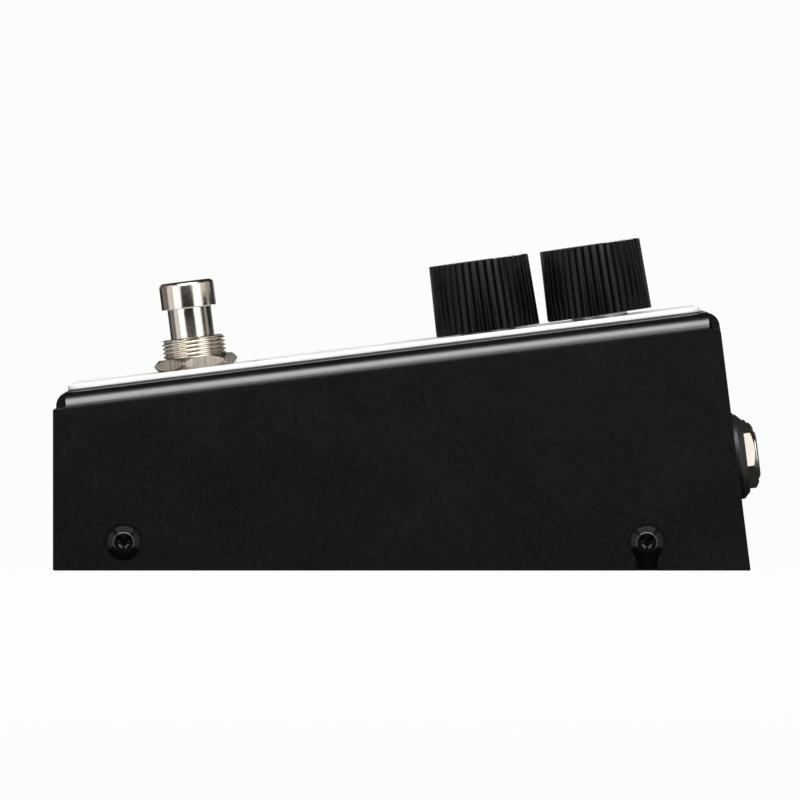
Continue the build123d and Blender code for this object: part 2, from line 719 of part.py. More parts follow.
with BuildPart() as jack_washers:
    for x in (-jack_x, jack_x):
        tube(on_rear(jack_v, x, -rear_inset), washer_radius, washer_top + rear_inset)
    outer_rims = edges().filter_by(GeomType.CIRCLE).group_by(Axis(rear.origin, along))[-1]
    chamfer(outer_rims, washer_chamfer)
    for x in (-jack_x, jack_x):
        tube(
            on_rear(jack_v, x, -sheet),
            jack_thread_radius + washer_gap,
            washer_top + sheet,
            mode=Mode.SUBTRACT,
        )
jack_washers.part.label = "jack_washers"
export_step(jack_washers.part, "parts/jack_washers.step")

with BuildPart() as jack_nuts:
    for x in (-jack_x, jack_x):
        hexagon(
            on_rear(jack_v, x, washer_top),
            jack_nut_flats,
            jack_nut_height,
            jack_thread_radius + running_gap,
            jack_nut_turn,
        )
jack_nuts.part.label = "jack_nuts"
export_step(jack_nuts.part, "parts/jack_nuts.step")

# ---- power inlet -------------------------------------------------------------------------
with BuildPart() as power_jack_body:
    tube(on_rear(jack_v, 0, -power_back), power_thread_radius, power_back - rear_inset)
    tube(on_rear(jack_v, 0, -rear_inset), power_flange_radius, power_front + rear_inset)
    socket_length = power_front + socket_depth
    tube(on_rear(jack_v, 0, -socket_depth), power_bore, socket_length, mode=Mode.SUBTRACT)
    tube(on_rear(jack_v, 0, -power_back), power_root_radius, power_root_depth, mode=Mode.SUBTRACT)
power_jack_body.part.label = "power_jack_body"
export_step(power_jack_body.part, "parts/power_jack_body.step")

with BuildPart() as power_jack_pin:
    root_length = power_back + power_tail - socket_depth
    tube(on_rear(jack_v, 0, -power_back - power_tail), power_root_radius, root_length)
    tube(on_rear(jack_v, 0, -socket_depth), power_pin_radius, socket_depth + power_pin_front)
power_jack_pin.part.label = "power_jack_pin"
export_step(power_jack_pin.part, "parts/power_jack_pin.step")

with BuildPart() as power_jack_nut:
    hexagon(
        on_rear(jack_v, 0, inner_wall - power_nut_height),
        nut_flats,
        power_nut_height,
        power_thread_radius + running_gap,
    )
power_jack_nut.part.label = "power_jack_nut"
export_step(power_jack_nut.part, "parts/power_jack_nut.step")

with BuildPart() as power_jack_terminals:
    for x in (-power_tab_u, power_tab_u):
        tab = on_rear(jack_v, x, -power_back - power_tab_length)
        block(tab, power_tab_width, power_tab_sheet, power_tab_length)
power_jack_terminals.part.label = "power_jack_terminals"
export_step(power_jack_terminals.part, "parts/power_jack_terminals.step")


def wire(x, start_v, start_level, end_s):
    """Insulated wire from a rear terminal forward and up to the board, in one plane."""
    begin = on_rear(start_v, x, start_level).origin
    finish = on_panel(end_s, x, board_under).origin
    turn_at = Vector(x, finish.Y + sin(tilt) * (finish.Z - begin.Z), begin.Z)
    with BuildLine() as route:
        FilletPolyline(begin, turn_at, finish, radius=wire_bend)
    with BuildSketch(Plane(origin=begin, z_dir=(0, -1, 0))) as section:
        Circle(wire_radius)
    sweep(section.sketch, route.line)


with BuildPart() as jack_wires:
    for x in (-jack_x, jack_x):
        for u in (-contact_u, contact_u):
            wire(x + u, jack_v, deepest - contact_tail - wire_gap, audio_wire_s)
jack_wires.part.label = "jack_wires"
export_step(jack_wires.part, "parts/jack_wires.step")

with BuildPart() as power_wires:
    for x in (-power_tab_u, power_tab_u):
        wire(x, jack_v, -power_back - power_tab_length - wire_gap, power_wire_s)
power_wires.part.label = "power_wires"
export_step(power_wires.part, "parts/power_wires.step")
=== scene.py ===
import json
import math

import bmesh
import bpy
from mathutils import Matrix, Vector


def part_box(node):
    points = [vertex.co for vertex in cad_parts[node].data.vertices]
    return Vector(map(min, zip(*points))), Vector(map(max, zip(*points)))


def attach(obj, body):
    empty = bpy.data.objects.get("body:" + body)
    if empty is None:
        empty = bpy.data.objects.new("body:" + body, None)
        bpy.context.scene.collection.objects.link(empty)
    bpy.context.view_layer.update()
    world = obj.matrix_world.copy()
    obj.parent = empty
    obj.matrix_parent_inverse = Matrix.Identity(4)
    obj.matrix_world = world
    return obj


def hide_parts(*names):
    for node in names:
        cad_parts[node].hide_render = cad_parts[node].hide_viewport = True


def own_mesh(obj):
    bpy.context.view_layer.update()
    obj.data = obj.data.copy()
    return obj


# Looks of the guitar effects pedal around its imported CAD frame.
# Pieces are drawn in millimetres in a local frame, then placed in the row frame in metres.

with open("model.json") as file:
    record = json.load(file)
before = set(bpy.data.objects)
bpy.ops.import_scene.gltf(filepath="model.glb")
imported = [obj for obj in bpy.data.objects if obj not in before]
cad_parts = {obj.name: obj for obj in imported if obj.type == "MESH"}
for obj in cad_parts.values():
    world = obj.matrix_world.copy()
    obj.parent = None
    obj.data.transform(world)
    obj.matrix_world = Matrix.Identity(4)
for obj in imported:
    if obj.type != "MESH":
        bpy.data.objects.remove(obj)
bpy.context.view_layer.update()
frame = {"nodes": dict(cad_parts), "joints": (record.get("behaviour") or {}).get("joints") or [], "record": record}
record = frame["record"]
joints = {joint["name"]: joint for joint in frame["joints"]}
mounts = {mount["name"]: mount for mount in record["mounts"]}
slot_of = {part["node"]: part["material_slot"] for part in record["subparts"]}

MM = 0.001
OUTWARD = Vector(joints["footswitch_press"]["axis"]).normalized()
ALONG = Vector((0, OUTWARD.z, -OUTWARD.y))
RIGHT = Vector((1, 0, 0))

# ---- dimensions in millimetres ---------------------------------------------------
EDGE_RADIUS = 0.2  # deburred edges of the folded cover
THREAD_PITCH, THREAD_CREST, THREAD_ROOT = 0.75, 6.0, 5.55
BUSHING_BORE, BUSHING_BOTTOM, BUSHING_TOP = 4.2, -5.8, 5.9
NUT_FLATS, NUT_HEIGHT, NUT_BORE = 14.0, 2.2, 6.05
NUT_CROWN, NUT_SLOPE, NUT_TURN = 7.0, 0.9, 12.5
SHAFT_RADIUS, CAP_RADIUS = 4.15, 5.2
CAP_BOTTOM, CAP_TOP, CAP_ROUND = 11.55, 16.6, 0.9
PIN_RADIUS, PIN_BOTTOM = 1.6, -13.7
COLLAR_RADIUS, COLLAR_BOTTOM, COLLAR_TOP = 5.2, -9.3, -7.3
SPRING_RADIUS, SPRING_WIRE, SPRING_TURNS = 2.85, 0.5, 6.5
SPRING_TURN_STEPS, SPRING_RING_STEPS = 28, 10
KNOB_BOTTOM_RADIUS, KNOB_TOP_RADIUS = 9.8, 9.4
KNOB_EDGE, KNOB_FOOT_EDGE = 0.14, 0.05
KNOB_RECESS, KNOB_RECESS_DEPTH = 6.6, 2.8
KNOB_BORE, KNOB_CROWN, KNOB_FACE_EDGE = 3.0, 2.2, 1.2
NEAR_AXIS = 0.01  # radius of the tiny ring that closes a flat face
RIB_COUNT, RIB_DEPTH, RIB_POINTS = 40, 0.42, 20
RIB_SHARPNESS = 9.0
FRONT_RIB_PHASE, REAR_RIB_PHASE = -2.7, -1.6  # degrees the ribs are turned
FRONT_KNOBS_LEAN, REAR_KNOBS_LEAN = 0.8, 1.2  # degrees towards the footswitch
POINTER_START, POINTER_END, POINTER_HALF_WIDTH = 2.6, 8.2, 0.55
POINTER_PROUD, POINTER_ROUND = 0.05, 0.2
JACK_WASHER_RADIUS, JACK_WASHER_RIM = 8.0, 0.9
JACK_WASHER_TOP, JACK_WASHER_LAND = 2.05, 6.85
JACK_WASHER_BASE, JACK_WASHER_BORE = -0.05, 4.55
JACK_NUT_FLATS, JACK_NUT_TOP, JACK_NUT_BORE = 11.0, 3.93, 4.5
JACK_NUT_CROWN, JACK_NUT_SLOPE, JACK_NUT_TURN = 5.2, 0.6, -12.5
JACK_SLEEVE_RADIUS, JACK_SLEEVE_BOTTOM, JACK_SLEEVE_TOP = 4.45, -9.0, 4.35
JACK_SLEEVE_LAND, JACK_SLEEVE_SHOULDER = 3.9, 4.08
JACK_MOUNT_DEPTH = 2.0  # the jack mounts lie this far inside the rear face
BUSHING_MOUTH = 0.35
NUT_MOUTH = 0.3  # countersink at both ends of a nut's bore
POWER_MOUNT_DEPTH = 3.0  # the power socket's mount lies this far inside the rear face
POWER_FLANGE_RADIUS, POWER_BODY_RADIUS, POWER_PIN_SHANK = 7.0, 5.9, 1.4
POWER_FLANGE_TOP, POWER_FLANGE_BASE, POWER_BODY_END = 1.5, -0.3, -14.0
POWER_SOCKET_RADIUS, POWER_SOCKET_FLOOR, POWER_SOCKET_MOUTH = 2.8, -8.5, 0.4
POWER_PIN_RADIUS, POWER_PIN_TOP, POWER_PIN_END = 1.05, 0.5, -17.0
BEZEL_BORE, BEZEL_RADIUS, BEZEL_FLANGE_RADIUS = 2.55, 3.0, 3.95
BEZEL_DEPTH, BEZEL_FLANGE_BASE, BEZEL_TOP = 3.0, 1.2, 1.9
LENS_RADIUS, LENS_COLLAR_RADIUS, LENS_DOME = 2.5, 2.9, 1.6
LENS_BOTTOM, LENS_COLLAR_TOP, LENS_TOP = -4.2, -3.2, 2.7
SCREW_HEAD_RADIUS, SCREW_HEAD_HEIGHT = 3.2, 1.55
SCREW_HEAD_BASE, SCREW_HEAD_RIM = -0.35, 0.05
SCREW_LAND_RADIUS = 1.95  # the flat round the cross recess
SCREW_SHANK_RADIUS, SCREW_SHANK_LENGTH = 1.45, 6.0
RECESS_TURN, RECESS_HALF_LENGTH, RECESS_HALF_WIDTH, RECESS_DEPTH = 45, 1.8, 0.46, 1.2
RECESS_POINT, RECESS_OVERCUT = 0.35, 0.3
PRINT_RADIUS, PRINT_INNER_RADIUS, PRINT_SHIFT, PRINT_BLUR = 11.4, 8.6, 2.5, 0.08
PRINT_LOW, PRINT_HIGH = -1.25, -1.15  # the plate's upper surface, from the nut's middle
PLATE_SHADE_LOW, PLATE_SHADE_HIGH = -2.1, -1.65  # painted shade, greyer towards the plate's lower edge, below the nut's middle


# ---- placing and mesh helpers -----------------------------------------------------
def place(origin, x_axis, y_axis, z_axis):
    """Matrix from local millimetres to the row frame in metres."""
    matrix = Matrix.Identity(4)
    for column, axis in enumerate((x_axis, y_axis, z_axis)):
        matrix.col[column] = (*(Vector(axis) * MM), 0)
    matrix.col[3] = (*origin, 1)
    return matrix


def on_panel(origin):
    return place(origin, RIGHT, ALONG, OUTWARD)


def on_rear(origin):
    return place(origin, -RIGHT, OUTWARD, ALONG)


def on_side(side, origin):
    return place(origin, Vector((0, side, 0)), Vector((0, 0, 1)), RIGHT * side)


def centre(node):
    low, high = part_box(node)
    return (low + high) / 2


def reach(node, origin, axis):
    """Lowest and highest point of a CAD node along an axis, in millimetres from an origin."""
    points = [vertex.co for vertex in frame["nodes"][node].data.vertices]
    levels = [(point - origin).dot(axis) / MM for point in points]
    return min(levels), max(levels)


def piece(name, vertices, faces, where, body, slot, replaced=(), crease=35, finish=None):
    """New object from local points, smooth-shaded up to the crease angle, riding on a body."""
    mesh = bpy.data.meshes.new(name)
    mesh.from_pydata([where @ Vector(v) for v in vertices], [], faces)
    shape = bmesh.new()
    shape.from_mesh(mesh)
    bmesh.ops.remove_doubles(shape, verts=shape.verts, dist=2e-6)
    bmesh.ops.dissolve_degenerate(shape, edges=shape.edges, dist=1e-6)
    bmesh.ops.recalc_face_normals(shape, faces=shape.faces)
    shape.to_mesh(mesh)
    shape.free()
    mesh.shade_smooth()
    mesh.set_sharp_from_angle(angle=math.radians(crease))
    return add_object(name, mesh, body, slot, replaced, finish)


def add_object(name, mesh, body, slot, replaced=(), finish=None):
    mesh.materials.clear()
    mesh.materials.append(finishes[finish or slot])
    obj = bpy.data.objects.new(name, mesh)
    bpy.context.scene.collection.objects.link(obj)
    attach(obj, body)
    if replaced:
        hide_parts(*replaced)
    return obj


def rounded(corners, radii, steps=6):
    """Closed outline with some corners rounded; radii maps a corner's index to its radius."""
    outline = []
    for index, corner in enumerate(corners):
        radius = radii.get(index, 0)
        here = Vector(corner)
        if not radius:
            outline.append(tuple(here))
            continue
        back = (Vector(corners[index - 1]) - here).normalized()
        ahead = (Vector(corners[(index + 1) % len(corners)]) - here).normalized()
        half = back.angle(ahead) / 2
        middle = here + (back + ahead).normalized() * radius / math.sin(half)
        start = here + back * radius / math.tan(half) - middle
        end = here + ahead * radius / math.tan(half) - middle
        for step in range(steps + 1):
            outline.append(tuple(middle + start.slerp(end, step / steps).normalized() * radius))
    return outline


def lathe(outline, steps=96):
    """Turned solid from a closed outline of (radius, height) points; radius 0 is on the axis."""
    vertices, rings = [], []
    for radius, height in outline:
        start = len(vertices)
        if radius < 1e-6:
            vertices.append((0, 0, height))
            rings.append([start] * steps)
            continue
        for step in range(steps):
            angle = 2 * math.pi * step / steps
            vertices.append((radius * math.cos(angle), radius * math.sin(angle), height))
        rings.append(list(range(start, start + steps)))
    return vertices, bridge(rings)


def bridge(rings):
    """Faces between neighbouring rings, and from the last back to the first."""
    faces = []
    for ring, following in zip(rings, rings[1:] + rings[:1]):
        count = len(ring)
        for step in range(count):
            after = (step + 1) % count
            face = [ring[step], ring[after], following[after], following[step]]
            face = list(dict.fromkeys(face))
            if len(face) > 2:
                faces.append(face)
    return faces


def stack(rings_of_points):
    """Solid from closed rings of points, each ring joined to the next."""
    vertices, rings = [], []
    for points in rings_of_points:
        rings.append(list(range(len(vertices), len(vertices) + len(points))))
        vertices.extend(points)
    return vertices, bridge(rings)


def circle_points(radius, height, count):
    return [
        (
            radius * math.cos(2 * math.pi * step / count),
            radius * math.sin(2 * math.pi * step / count),
            height,
        )
        for step in range(count)
    ]


def hexagon_nut(flats, bottom, top, bore, crown, slope, turn=0.0, both_ends=True, per_side=16):
    """Hexagon nut whose corners are turned down to a cone at the top, or at both ends."""
    count = 6 * per_side
    apothem = flats / 2
    upper, upper_rim, lower_rim, lower = [], [], [], []
    for step in range(count):
        angle = 2 * math.pi * step / count
        wide = apothem / math.cos((angle + math.pi / 6) % (math.pi / 3) - math.pi / 6)
        direction = (math.cos(angle + math.radians(turn)), math.sin(angle + math.radians(turn)))
        drop = max(wide - crown, 0) * slope
        flat = min(crown, wide)
        upper.append((direction[0] * flat, direction[1] * flat, top))
        upper_rim.append((direction[0] * wide, direction[1] * wide, top - drop))
        lift = drop if both_ends else 0
        lower_rim.append((direction[0] * wide, direction[1] * wide, bottom + lift))
        foot = flat if both_ends else wide
        lower.append((direction[0] * foot, direction[1] * foot, bottom))
    return stack(
        [
            upper,
            upper_rim,
            lower_rim,
            lower,
            circle_points(bore + NUT_MOUTH, bottom, count),
            circle_points(bore, bottom + NUT_MOUTH, count),
            circle_points(bore, top - NUT_MOUTH, count),
            circle_points(bore + NUT_MOUTH, top, count),
        ]
    )


def threaded_sleeve(bottom, top, bore, steps=84):
    """Sleeve with a helical thread outside, its ends chamfered down to the root."""
    shares = (0.0, 0.0, 0.5, 0.95, 1.0, 0.95, 0.5)  # of the thread's depth, along one turn
    rows = len(shares) * (math.ceil((top - bottom) / THREAD_PITCH) + 2)
    depth = THREAD_CREST - THREAD_ROOT
    vertices = []
    for column in range(steps):
        angle = 2 * math.pi * column / steps
        start = bottom - THREAD_PITCH + THREAD_PITCH * column / steps
        for row in range(rows):
            height = min(max(start + THREAD_PITCH * row / len(shares), bottom), top)
            chamfer = min(height - bottom, top - height)
            radius = THREAD_ROOT + min(depth * shares[row % len(shares)], chamfer)
            vertices.append((radius * math.cos(angle), radius * math.sin(angle), height))
    faces = []
    for column in range(steps):
        following = (column + 1) % steps
        jump = len(shares) if following == 0 else 0
        for row in range(rows - 1 - jump):
            corner = column * rows + row
            other = following * rows + row + jump
            faces.append([corner, other, other + 1, corner + 1])
    rings = []
    for radius, height in ((THREAD_ROOT, bottom), (bore, bottom), (bore, top), (THREAD_ROOT, top)):
        rings.append(list(range(len(vertices), len(vertices) + steps)))
        vertices.extend(circle_points(radius, height, steps))
    faces.extend(bridge(rings)[: 3 * steps])
    return vertices, faces


def applied(obj):
    """Mesh of an object with its modifiers applied; the object is removed."""
    bpy.context.view_layer.update()
    graph = bpy.context.evaluated_depsgraph_get()
    mesh = bpy.data.meshes.new_from_object(
        obj.evaluated_get(graph), preserve_all_data_layers=True, depsgraph=graph
    )
    bpy.data.objects.remove(obj)
    return mesh


def loose_object(name, mesh):
    obj = bpy.data.objects.new(name, mesh)
    bpy.context.scene.collection.objects.link(obj)
    return obj


# ---- procedural materials -------------------------------------------------------------
class Finish:
    """A node material whose colour, roughness and relief come from noise in the row frame."""

    def __init__(self, name, metallic=0.0, specular=0.5):
        self.material = bpy.data.materials.new(name)
        self.material.use_nodes = True
        self.tree = self.material.node_tree
        self.shader = self.tree.nodes["Principled BSDF"]
        self.shader.inputs["Metallic"].default_value = metallic
        self.shader.inputs["Specular IOR Level"].default_value = specular
        self.place = self.tree.nodes.new("ShaderNodeTexCoord").outputs["Object"]
        self.relief = None

    def node(self, kind, **settings):
        made = self.tree.nodes.new(kind)
        for key, value in settings.items():
            setattr(made, key, value)
        return made

    def link(self, source, target):
        self.tree.links.new(source, target)

    def noise(self, size_mm, detail=3.0, stretch=(1, 1, 1), rough=0.55):
        """Noise whose features are about size_mm wide."""
        scaled = self.node("ShaderNodeMapping")
        scaled.inputs["Scale"].default_value = stretch
        self.link(self.place, scaled.inputs["Vector"])
        made = self.node("ShaderNodeTexNoise")
        made.inputs["Scale"].default_value = 1 / (size_mm * MM)
        made.inputs["Detail"].default_value = detail
        made.inputs["Roughness"].default_value = rough
        self.link(scaled.outputs["Vector"], made.inputs["Vector"])
        return made.outputs["Fac"]

    def remap(self, value, low, high, out_low, out_high, smooth=False):
        made = self.node("ShaderNodeMapRange")
        if smooth:
            made.interpolation_type = "SMOOTHSTEP"
        limits = {"From Min": low, "From Max": high, "To Min": out_low, "To Max": out_high}
        for socket, number in limits.items():
            made.inputs[socket].default_value = number
        self.link(value, made.inputs["Value"])
        return made.outputs["Result"]

    def math(self, operation, first, second=None):
        made = self.node("ShaderNodeMath", operation=operation)
        for socket, value in zip(made.inputs, (first, second)):
            if value is None:
                continue
            if isinstance(value, (int, float)):
                socket.default_value = value
            else:
                self.link(value, socket)
        return made.outputs["Value"]

    def mix(self, share, first, second):
        """Colour between two colours or colour sockets."""
        made = self.node("ShaderNodeMix", data_type="RGBA")
        self.link(share, made.inputs["Factor"])
        for name, value in (("A", first), ("B", second)):
            socket = [s for s in made.inputs if s.name == name and s.type == "RGBA"][0]
            if isinstance(value, tuple):
                socket.default_value = (*value, 1)
            else:
                self.link(value, socket)
        return [s for s in made.outputs if s.type == "RGBA"][0]

    def colour(self, socket):
        self.link(socket, self.shader.inputs["Base Color"])

    def roughness(self, socket):
        self.link(socket, self.shader.inputs["Roughness"])

    def bump(self, height, distance_mm, strength=1.0):
        """Adds a layer of relief; layers stack."""
        made = self.node("ShaderNodeBump")
        made.inputs["Distance"].default_value = distance_mm * MM
        made.inputs["Strength"].default_value = strength
        self.link(height, made.inputs["Height"])
        if self.relief is not None:
            self.link(self.relief, made.inputs["Normal"])
        self.relief = made.outputs["Normal"]
        self.link(self.relief, self.shader.inputs["Normal"])

    def along_axis(self, point, axis, unit_mm=1.0):
        """Distance of a surface point from a point along an axis, in millimetres."""
        moved = self.node("ShaderNodeVectorMath", operation="SUBTRACT")
        moved.inputs[1].default_value = point
        self.link(self.place, moved.inputs[0])
        dotted = self.node("ShaderNodeVectorMath", operation="DOT_PRODUCT")
        dotted.inputs[1].default_value = Vector(axis) / (unit_mm * MM)
        self.link(moved.outputs["Vector"], dotted.inputs[0])
        return dotted.outputs["Value"]


def powder_coat():
    finish = Finish("powder_coat", specular=0.85)
    cloud = finish.noise(14, detail=4)
    mottle = finish.noise(0.7, detail=3)
    peel = finish.noise(0.85, detail=2)
    grit = finish.noise(0.28, detail=2)
    shade = finish.remap(mottle, 0.36, 0.64, 0.0, 1.0)
    finish.colour(finish.mix(shade, (0.0001, 0.0001, 0.0002), (0.0032, 0.0031, 0.0034)))
    half_cloud = finish.math("MULTIPLY", cloud, 0.5)
    half_peel = finish.math("MULTIPLY", peel, 0.5)
    blend = finish.math("ADD", half_cloud, half_peel)
    finish.roughness(finish.remap(blend, 0.3, 0.7, 0.215, 0.265))
    finish.bump(peel, 0.012)
    finish.bump(grit, 0.004)
    return finish.material


def screw_black():
    finish = Finish("screw_black", specular=0.5)
    film = finish.noise(1.4, detail=4)
    grit = finish.noise(0.2, detail=3)
    finish.colour(finish.mix(film, (0.0015, 0.0015, 0.0018), (0.005, 0.0046, 0.0046)))
    finish.roughness(finish.remap(film, 0.35, 0.7, 0.11, 0.19))
    finish.bump(grit, 0.006)
    return finish.material


def plate_white():
    """White face with a plain red-brown ring printed round the footswitch, and painted shade greying the lower
    edge of its side.
    """
    finish = Finish("plate_white", specular=0.2)
    cloud = finish.noise(9, detail=4)
    speck = finish.noise(0.5, detail=3)
    paper = finish.mix(cloud, (0.71, 0.715, 0.705), (0.755, 0.76, 0.75))
    axis_point = centre("footswitch_nut") + ALONG * PRINT_SHIFT * MM
    across = finish.along_axis(axis_point, RIGHT)
    up = finish.along_axis(axis_point, ALONG)
    level = finish.along_axis(axis_point, OUTWARD)
    across_squared = finish.math("MULTIPLY", across, across)
    up_squared = finish.math("MULTIPLY", up, up)
    radius = finish.math("SQRT", finish.math("ADD", across_squared, up_squared))
    outside = finish.remap(radius, PRINT_RADIUS - PRINT_BLUR, PRINT_RADIUS + PRINT_BLUR, 1.0, 0.0)
    inner_low, inner_high = PRINT_INNER_RADIUS - PRINT_BLUR, PRINT_INNER_RADIUS + PRINT_BLUR
    inside = finish.remap(radius, inner_low, inner_high, 0.0, 1.0)
    face = finish.remap(level, PRINT_LOW, PRINT_HIGH, 0.0, 1.0)
    printed = finish.math("MULTIPLY", finish.math("MULTIPLY", outside, inside), face)
    ink = finish.mix(speck, (0.15, 0.045, 0.03), (0.21, 0.07, 0.05))
    # painted shade: the plate's side turns grey towards its lower edge, where it sits on the cover
    under = finish.remap(level, PLATE_SHADE_LOW, PLATE_SHADE_HIGH, 0.0, 1.0, smooth=True)
    body = finish.mix(under, (0.24, 0.24, 0.235), paper)
    finish.colour(finish.mix(printed, body, ink))
    finish.roughness(finish.remap(speck, 0.3, 0.7, 0.52, 0.66))
    finish.bump(speck, 0.006)
    return finish.material


def plated(name, low, high, rough_low, rough_high, grain_mm, grain_depth):
    """Plated metal: tarnish clouds and fine pits."""
    finish = Finish(name, metallic=1.0)
    cloud = finish.noise(3.5, detail=5)
    pits = finish.noise(grain_mm, detail=3)
    finish.colour(finish.mix(cloud, low, high))
    most = finish.math("MULTIPLY", cloud, 0.6)
    rest = finish.math("MULTIPLY", pits, 0.4)
    worn = finish.math("ADD", most, rest)
    finish.roughness(finish.remap(worn, 0.3, 0.7, rough_low, rough_high))
    finish.bump(pits, grain_depth)
    return finish.material


def nickel_milled():
    """Plated nut: fine machining lines run parallel to its axis on the flats."""
    finish = Finish("nickel_milled", metallic=1.0)
    cloud = finish.noise(3, detail=5)
    lines = finish.noise(0.45, detail=3, stretch=(1, 1, 0.03))
    grain = finish.mix(lines, (0.22, 0.19, 0.15), (0.60, 0.55, 0.47))
    finish.colour(finish.mix(finish.remap(cloud, 0.3, 0.7, 0.0, 0.35), grain, (0.42, 0.38, 0.32)))
    finish.roughness(finish.remap(lines, 0.3, 0.7, 0.24, 0.36))
    finish.bump(lines, 0.1)
    return finish.material


def moulded(name, low, high, rough_low, rough_high, grain_mm=0.35, depth=0.01, specular=0.5):
    """Moulded plastic or rubber: slight colour clouds and a fine grain."""
    finish = Finish(name, specular=specular)
    cloud = finish.noise(5, detail=4)
    grain = finish.noise(grain_mm, detail=3)
    finish.colour(finish.mix(cloud, low, high))
    finish.roughness(finish.remap(grain, 0.3, 0.7, rough_low, rough_high))
    finish.bump(grain, depth)
    return finish.material


def knob_black():
    finish = Finish("knob_black", specular=0.13)
    cloud = finish.noise(4, detail=4)
    flow = finish.noise(1.2, detail=3, stretch=(1, 1, 0.15))
    grain = finish.noise(0.22, detail=3)
    finish.colour(finish.mix(cloud, (0.0010, 0.0010, 0.0011), (0.0026, 0.0025, 0.0027)))
    finish.roughness(finish.remap(flow, 0.3, 0.7, 0.17, 0.23))
    finish.bump(grain, 0.01)
    return finish.material


def board_green():
    """Solder mask over copper tracks that run across the board."""
    finish = Finish("board_green")
    cloud = finish.noise(6, detail=4)
    track = finish.node("ShaderNodeTexWave", wave_type="BANDS", bands_direction="X")
    track.inputs["Scale"].default_value = 190
    track.inputs["Distortion"].default_value = 3.5
    track.inputs["Detail"].default_value = 1.0
    finish.link(finish.place, track.inputs["Vector"])
    copper = finish.remap(track.outputs["Fac"], 0.55, 0.62, 0.0, 1.0)
    mask = finish.mix(cloud, (0.012, 0.07, 0.035), (0.02, 0.10, 0.05))
    finish.colour(finish.mix(copper, mask, (0.03, 0.17, 0.08)))
    finish.roughness(finish.remap(cloud, 0.3, 0.7, 0.22, 0.34))
    finish.bump(copper, 0.03)
    return finish.material


def phenolic_brown():
    finish = Finish("phenolic_brown")
    fibre = finish.noise(0.8, detail=4, stretch=(0.2, 1, 1))
    finish.colour(finish.mix(fibre, (0.13, 0.055, 0.02), (0.24, 0.12, 0.05)))
    finish.roughness(finish.remap(fibre, 0.3, 0.7, 0.4, 0.6))
    finish.bump(fibre, 0.015)
    return finish.material


def banded(name, ground, stripe, axis, period_mm, share, rough_low, rough_high):
    """Surface with straight stripes square to an axis, as on resistors and ribbon cable."""
    finish = Finish(name)
    along = finish.along_axis(Vector((0, 0, 0)), axis, period_mm)
    phase = finish.math("FRACT", along)
    stripes = finish.remap(phase, share, share + 0.06, 1.0, 0.0)
    cloud = finish.noise(1.5, detail=3)
    shade = finish.mix(cloud, ground, tuple(min(c * 1.25, 1) for c in ground))
    finish.colour(finish.mix(stripes, shade, stripe))
    finish.roughness(finish.remap(cloud, 0.3, 0.7, rough_low, rough_high))
    finish.bump(stripes, 0.03)
    return finish.material


def led_red():
    finish = Finish("led_red")
    cloud = finish.noise(2, detail=3)
    finish.colour(finish.mix(cloud, (0.55, 0.012, 0.01), (0.75, 0.03, 0.02)))
    finish.roughness(finish.remap(cloud, 0.3, 0.7, 0.06, 0.16))
    finish.shader.inputs["Transmission Weight"].default_value = 0.6
    finish.shader.inputs["IOR"].default_value = 1.53
    finish.bump(cloud, 0.004)
    return finish.material


finishes = {
    "powder_coat": powder_coat(),
    "screw_black": screw_black(),
    "plate_white": plate_white(),
    "adhesive_film": moulded(
        "adhesive_film", (0.045, 0.045, 0.044), (0.06, 0.06, 0.058), 0.6, 0.8, specular=0.3
    ),
    "nickel": plated(
        "nickel", (0.62, 0.56, 0.485), (0.75, 0.695, 0.62), 0.12, 0.22, 0.3, 0.014
    ),
    "nickel_milled": nickel_milled(),
    "steel": plated("steel", (0.50, 0.50, 0.51), (0.62, 0.62, 0.63), 0.28, 0.42, 0.4, 0.008),
    "knob_black": knob_black(),
    "pointer_white": moulded("pointer_white", (0.66, 0.66, 0.64), (0.74, 0.74, 0.72), 0.35, 0.5),
    "moulded_black": moulded(
        "moulded_black", (0.008, 0.008, 0.009), (0.016, 0.016, 0.017), 0.3, 0.46
    ),
    "brass_contact": plated(
        "brass_contact", (0.62, 0.47, 0.24), (0.78, 0.64, 0.36), 0.25, 0.4, 0.5, 0.006
    ),
    "board_green": board_green(),
    "phenolic_brown": phenolic_brown(),
    "chip_black": moulded(
        "chip_black", (0.014, 0.014, 0.014), (0.025, 0.025, 0.025), 0.55, 0.75, 0.15
    ),
    "capacitor_sleeve": banded(
        "capacitor_sleeve", (0.012, 0.018, 0.05), (0.35, 0.38, 0.42), RIGHT, 17.0, 0.06, 0.2, 0.35
    ),
    "film_box": moulded("film_box", (0.26, 0.03, 0.025), (0.38, 0.05, 0.04), 0.25, 0.4),
    "resistor_lacquer": banded(
        "resistor_lacquer", (0.12, 0.22, 0.30), (0.30, 0.10, 0.03), ALONG, 0.9, 0.3, 0.25, 0.4
    ),
    "led_red": led_red(),
    "ribbon_grey": banded(
        "ribbon_grey", (0.24, 0.24, 0.25), (0.12, 0.12, 0.125), RIGHT, 1.27, 0.18, 0.4, 0.55
    ),
    "wire_insulation": moulded(
        "wire_insulation", (0.32, 0.035, 0.025), (0.42, 0.05, 0.04), 0.4, 0.55
    ),
}


